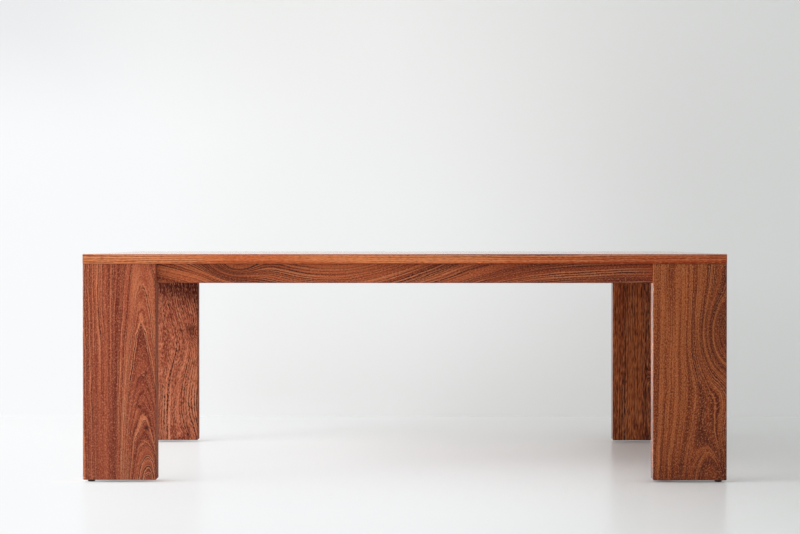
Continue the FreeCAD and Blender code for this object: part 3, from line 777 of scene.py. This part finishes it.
# The painted light shows to the camera and in reflections only, so it doesn't light the table.
rays = mix.nodes.new("ShaderNodeLightPath")
seen = worked_out(mix, "MAXIMUM", rays.outputs["Is Camera Ray"], rays.outputs["Is Glossy Ray"])
with_painted_light = mix.nodes.new("ShaderNodeMixShader")
feed(mix, with_painted_light.inputs["Fac"], worked_out(mix, "MULTIPLY", seen, painted_light_share))
feed(mix, with_painted_light.inputs[1], coat.outputs["BSDF"])
feed(mix, with_painted_light.inputs[2], painted_light.outputs["Emission"])
one_sided = mix.nodes.new("ShaderNodeMixShader")
feed(mix, one_sided.inputs["Fac"], mix.nodes.new("ShaderNodeNewGeometry").outputs["Backfacing"])
feed(mix, one_sided.inputs[1], with_painted_light.outputs["Shader"])
feed(mix, one_sided.inputs[2], mix.nodes.new("ShaderNodeBsdfTransparent").outputs["BSDF"])
feed(mix, mix.nodes["Material Output"].inputs["Surface"], one_sided.outputs["Shader"])


def lay_floor(sweep, front, back):
    """Lays a stretch of floor across the whole room."""
    corners = ((-ROOM_REACH, front), (ROOM_REACH, front), (ROOM_REACH, back), (-ROOM_REACH, back))
    sweep.faces.new([sweep.verts.new((x, y, 0)) for x, y in corners])


sweep = bmesh.new()
lay_floor(sweep, -ROOM_REACH, WALL_PLACE)
wall_foot = [edge for edge in sweep.edges if all(vertex.co.y > 0 for vertex in edge.verts)]
risen = bmesh.ops.extrude_edge_only(sweep, edges=wall_foot)["geom"]
wall_top = [part for part in risen if isinstance(part, bmesh.types.BMVert)]
bmesh.ops.translate(sweep, vec=(0, 0, WALL_HEIGHT), verts=wall_top)
bmesh.ops.bevel(sweep, geom=wall_foot, offset=COVE, affect="EDGES", segments=8, profile=0.5, material=-1)
lay_floor(sweep, WALL_PLACE - COVE, ROOM_REACH)
for face in sweep.faces:
    face.smooth = True
    if face.normal.z < -FACES_AWAY or face.normal.y > FACES_AWAY:
        face.normal_flip()
backdrop_mesh = bpy.data.meshes.new("backdrop")
sweep.to_mesh(backdrop_mesh)
sweep.free()
backdrop_mesh.materials.append(paint_and_light)
backdrop = bpy.data.objects.new("backdrop", backdrop_mesh)
bpy.context.scene.collection.objects.link(backdrop)

# Light
# Daylight comes from a wide window on the left, with a weak softbox in front and the pale room around.
# A narrow strip light on the left picks out the front right leg's inner side.
# No lamp is mirrored in the finish.
AIR_LIGHT = 0.4
AIR_SEEN = 0.85
TABLE_MIDDLE = (0, 0, 0.4)
LAMPS = {
    "window": {
        "place": (-5.5, -1.25, 2.6),
        "aim": TABLE_MIDDLE,
        "size": (3.0, 3.0),
        "watts": 328,
        "spread": 180,
    },
    "softbox": {
        "place": (-2.6, -2.5, 3.4),
        "aim": TABLE_MIDDLE,
        "size": (1.8, 1.8),
        "watts": 34,
        "spread": 180,
    },
    "strip_light": {
        "place": (-5.0, -0.8, 0.6),
        "aim": (0.82, -0.5, 0.4),
        "size": (0.3, 0.6),
        "watts": 1.6,
        "spread": 14,
    },
}
room = bpy.data.worlds.new("room")
room.use_nodes = True
air = room.node_tree
air.nodes["Background"].inputs["Color"].default_value = (1, 1, 1, 1)
in_view = air.nodes.new("ShaderNodeLightPath").outputs["Is Camera Ray"]
feed(air, air.nodes["Background"].inputs["Strength"], eased_step(air, in_view, 0.0, 1.0, AIR_LIGHT, AIR_SEEN))
bpy.context.scene.world = room
for name, figures in LAMPS.items():
    lamp = bpy.data.lights.new(name, "AREA")
    lamp.shape = "RECTANGLE"
    lamp.size, lamp.size_y = figures["size"]
    lamp.energy = figures["watts"]
    lamp.spread = math.radians(figures["spread"])
    stand = bpy.data.objects.new(name, lamp)
    stand.visible_glossy = False
    stand.location = figures["place"]
    beam = Vector(figures["aim"]) - Vector(figures["place"])
    stand.rotation_euler = beam.to_track_quat("-Z", "Y").to_euler()
    bpy.context.scene.collection.objects.link(stand)

# Camera
# It stands square to the table's front, a little above its top, with a lens long enough not to distort it.
# Its picture is shifted, so that the legs stay upright.
LENS = 69.8
CAMERA_PLACE = (0.0141, -5.6673, 0.8092)
CAMERA_TILT = -0.0064
CAMERA_PAN = 0.0056
CAMERA_SHIFT = -0.0237
camera = bpy.data.cameras.new("camera")
camera.lens = LENS
camera.shift_y = CAMERA_SHIFT
viewer = bpy.data.objects.new("camera", camera)
viewer.location = CAMERA_PLACE
viewer.rotation_euler = (math.pi / 2 + CAMERA_TILT, 0, CAMERA_PAN)
bpy.context.scene.collection.objects.link(viewer)
bpy.context.scene.camera = viewer
bpy.context.scene.view_settings.view_transform = "Standard"
